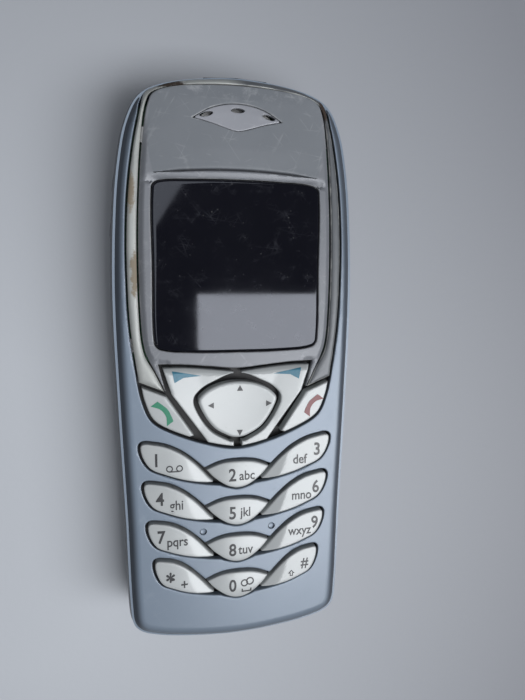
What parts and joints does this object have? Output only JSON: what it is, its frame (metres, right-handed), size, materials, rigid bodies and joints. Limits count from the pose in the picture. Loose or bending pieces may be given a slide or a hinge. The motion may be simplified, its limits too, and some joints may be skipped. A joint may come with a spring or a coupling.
{
  "type": "candy-bar mobile phone",
  "caption": "Slim candy-bar mobile phone lying on its back, with a waisted shell, bright bow-shaped frame, square window, kite-shaped scroll key and curved rows of pearl keys.",
  "frame": {"origin": "on the surface the phone lies on, under the middle of its back", "axes": "+X to the right of the keypad, +Y to the earpiece end, +Z out of the keys"},
  "size_m": [0.044, 0.102, 0.0135],
  "materials": {
    "blue_grey_paint": "satin metallic paint on plastic",
    "worn_chrome": "worn and stained plating",
    "silver_plastic": "silver paint, scratched",
    "light_grey_plastic": "satin",
    "pearl_plastic": "pearl silver",
    "black_rubber": "matte",
    "dark_plastic": "matte",
    "white_plastic": "matte",
    "window_pane": "clear over a black display",
    "display_glass": "dark when switched off",
    "board_green": "solder mask",
    "bright_steel": "bright",
    "antenna_brass": "stamped sheet"
  },
  "bodies": {
    "phone": {"front_cover": "blue_grey_paint", "chrome_frame": "worn_chrome", "display_bezel": "silver_plastic", "display_window": "window_pane", "earpiece_grille": "light_grey_plastic", "rear_cover": "blue_grey_paint", "battery": "dark_plastic", "keymat": "black_rubber", "dome_sheet": "bright_steel", "circuit_board": "board_green", "board_screw_1": "bright_steel", "board_screw_2": "bright_steel", "board_screw_3": "bright_steel", "board_screw_4": "bright_steel", "board_screw_5": "bright_steel", "board_screw_6": "bright_steel", "display_frame": "white_plastic", "display_module": "display_glass", "earpiece": "bright_steel", "sim_holder": "bright_steel", "sim_card": "white_plastic", "battery_contacts": "black_rubber", "radio_shield": "bright_steel", "ringer": "black_rubber", "vibration_motor": "bright_steel", "backup_cell": "bright_steel", "antenna": "antenna_brass", "accessory_connector": "black_rubber", "charging_jack": "black_rubber", "microphone": "bright_steel"},
    "key_1": {"key_1": "pearl_plastic"},
    "key_2": {"key_2": "pearl_plastic"},
    "key_3": {"key_3": "pearl_plastic"},
    "key_4": {"key_4": "pearl_plastic"},
    "key_5": {"key_5": "pearl_plastic"},
    "key_6": {"key_6": "pearl_plastic"},
    "key_7": {"key_7": "pearl_plastic"},
    "key_8": {"key_8": "pearl_plastic"},
    "key_9": {"key_9": "pearl_plastic"},
    "key_star": {"key_star": "pearl_plastic"},
    "key_0": {"key_0": "pearl_plastic"},
    "key_hash": {"key_hash": "pearl_plastic"},
    "key_call": {"key_call": "pearl_plastic"},
    "key_end": {"key_end": "pearl_plastic"},
    "softkey_left": {"softkey_left": "pearl_plastic"},
    "softkey_right": {"softkey_right": "pearl_plastic"},
    "navigation_post": {"navigation_post": "black_rubber"},
    "navigation_key": {"navigation_key": "pearl_plastic"},
    "volume_key": {"volume_key": "black_rubber"},
    "power_key": {"power_key": "black_rubber"},
    "battery_release_button": {"battery_release_button": "blue_grey_paint"},
    "battery_cover": {"battery_cover": "blue_grey_paint"}
  },
  "joints": [
    {"name": "key_1_press", "type": "slide", "parent": "phone", "child": "key_1", "axis": [0, 0, -1], "range_m": [0, 0.0004], "stiffness_N_per_m": 250},
    {"name": "key_2_press", "type": "slide", "parent": "phone", "child": "key_2", "axis": [0, 0, -1], "range_m": [0, 0.0004], "stiffness_N_per_m": 250},
    {"name": "key_3_press", "type": "slide", "parent": "phone", "child": "key_3", "axis": [0, 0, -1], "range_m": [0, 0.0004], "stiffness_N_per_m": 250},
    {"name": "key_4_press", "type": "slide", "parent": "phone", "child": "key_4", "axis": [0, 0, -1], "range_m": [0, 0.0004], "stiffness_N_per_m": 250},
    {"name": "key_5_press", "type": "slide", "parent": "phone", "child": "key_5", "axis": [0, 0, -1], "range_m": [0, 0.0004], "stiffness_N_per_m": 250},
    {"name": "key_6_press", "type": "slide", "parent": "phone", "child": "key_6", "axis": [0, 0, -1], "range_m": [0, 0.0004], "stiffness_N_per_m": 250},
    {"name": "key_7_press", "type": "slide", "parent": "phone", "child": "key_7", "axis": [0, 0, -1], "range_m": [0, 0.0004], "stiffness_N_per_m": 250},
    {"name": "key_8_press", "type": "slide", "parent": "phone", "child": "key_8", "axis": [0, 0, -1], "range_m": [0, 0.0004], "stiffness_N_per_m": 250},
    {"name": "key_9_press", "type": "slide", "parent": "phone", "child": "key_9", "axis": [0, 0, -1], "range_m": [0, 0.0004], "stiffness_N_per_m": 250},
    {"name": "key_star_press", "type": "slide", "parent": "phone", "child": "key_star", "axis": [0, 0, -1], "range_m": [0, 0.0004], "stiffness_N_per_m": 250},
    {"name": "key_0_press", "type": "slide", "parent": "phone", "child": "key_0", "axis": [0, 0, -1], "range_m": [0, 0.0004], "stiffness_N_per_m": 250},
    {"name": "key_hash_press", "type": "slide", "parent": "phone", "child": "key_hash", "axis": [0, 0, -1], "range_m": [0, 0.0004], "stiffness_N_per_m": 250},
    {"name": "key_call_press", "type": "slide", "parent": "phone", "child": "key_call", "axis": [0, 0, -1], "range_m": [0, 0.0004], "stiffness_N_per_m": 250},
    {"name": "key_end_press", "type": "slide", "parent": "phone", "child": "key_end", "axis": [0, 0, -1], "range_m": [0, 0.0004], "stiffness_N_per_m": 250},
    {"name": "softkey_left_press", "type": "slide", "parent": "phone", "child": "softkey_left", "axis": [0, 0, -1], "range_m": [0, 0.0004], "stiffness_N_per_m": 250},
    {"name": "softkey_right_press", "type": "slide", "parent": "phone", "child": "softkey_right", "axis": [0, 0, -1], "range_m": [0, 0.0004], "stiffness_N_per_m": 250},
    {"name": "navigation_up_down", "type": "hinge", "parent": "phone", "child": "navigation_post", "pos_m": [0, -0.006, 0.0112], "axis": [1, 0, 0], "range_deg": [-2.5, 2.5], "stiffness_Nm_per_rad": 0.01},
    {"name": "navigation_left_right", "type": "hinge", "parent": "navigation_post", "child": "navigation_key", "pos_m": [0, -0.006, 0.0112], "axis": [0, 1, 0], "range_deg": [-2.5, 2.5], "stiffness_Nm_per_rad": 0.01},
    {"name": "volume_rock", "type": "hinge", "parent": "phone", "child": "volume_key", "pos_m": [-0.02075, 0.0295, 0.0052], "axis": [0, 0, 1], "range_deg": [-2.5, 2.5], "stiffness_Nm_per_rad": 0.01},
    {"name": "power_press", "type": "slide", "parent": "phone", "child": "power_key", "axis": [0, -1, 0], "range_m": [0, 0.0004], "stiffness_N_per_m": 250},
    {"name": "release_press", "type": "slide", "parent": "phone", "child": "battery_release_button", "axis": [0, 0, 1], "range_m": [0, 0.0006], "stiffness_N_per_m": 250},
    {"name": "battery_cover_slide", "type": "slide", "parent": "phone", "child": "battery_cover", "axis": [0, -1, 0], "range_m": [0, 0.068]}
  ]
}
